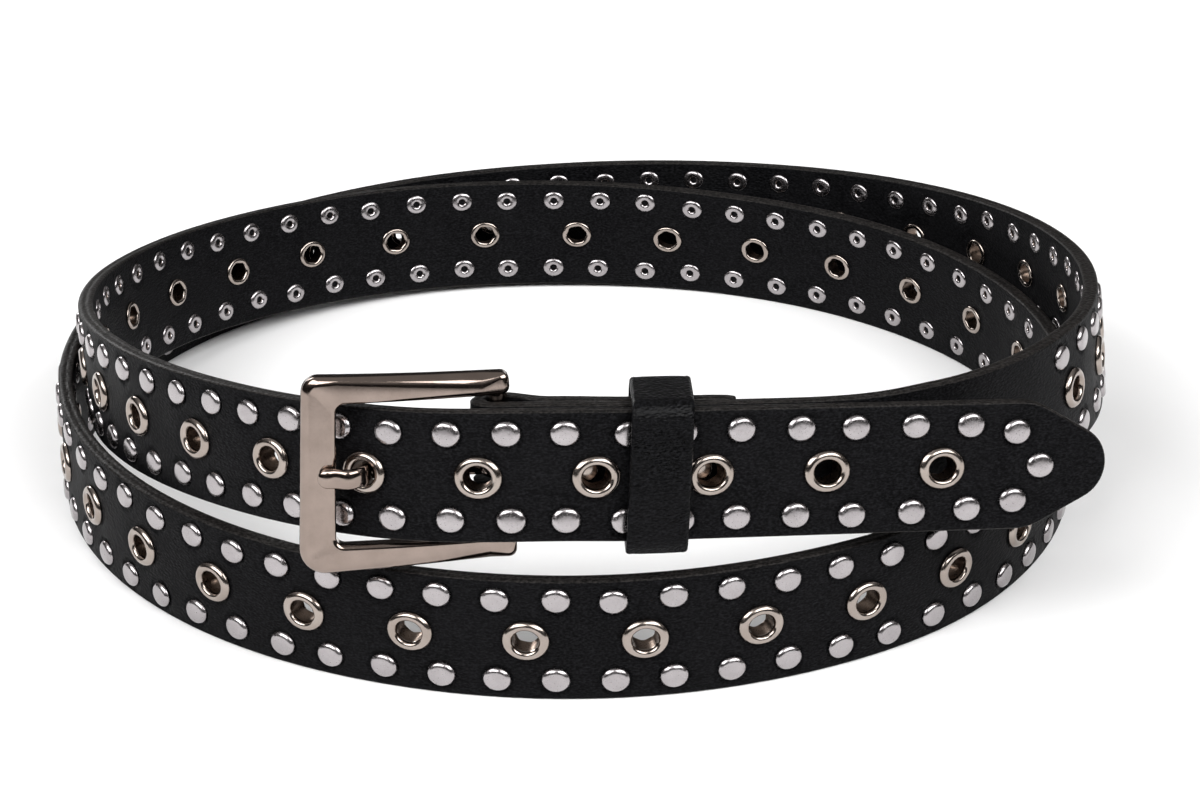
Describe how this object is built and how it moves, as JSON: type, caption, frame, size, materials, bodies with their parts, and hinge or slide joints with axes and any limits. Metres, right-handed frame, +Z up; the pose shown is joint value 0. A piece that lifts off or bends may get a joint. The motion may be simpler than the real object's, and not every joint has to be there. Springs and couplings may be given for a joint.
{
  "type": "studded belt",
  "caption": "Long leather belt buckled into a ring and lying in two turns, with small dome studs in two rows, metal-rimmed eyelets, a frame buckle with a prong and a leather keeper.",
  "frame": {"origin": "on the surface that the belt rests on, under the middle of its bounding box", "axes": "+Z up from the surface; -Y towards the buckle; +X towards the loose end of the strap"},
  "size_m": [0.1962, 0.1986, 0.0558],
  "materials": {
    "strap_leather": "fine-grained black leather, slightly glossy, with nickel studs and eyelets",
    "keeper_leather": "smooth black leather",
    "buckle_metal": "polished nickel, slightly warm",
    "rivet_metal": "polished nickel, slightly worn"
  },
  "bodies": {
    "root": {"strap": "strap_leather", "buckle_frame": "buckle_metal", "prong": "buckle_metal", "keeper": "keeper_leather", "fold_rivet_1": "rivet_metal", "fold_rivet_2": "rivet_metal"}
  },
  "joints": []
}
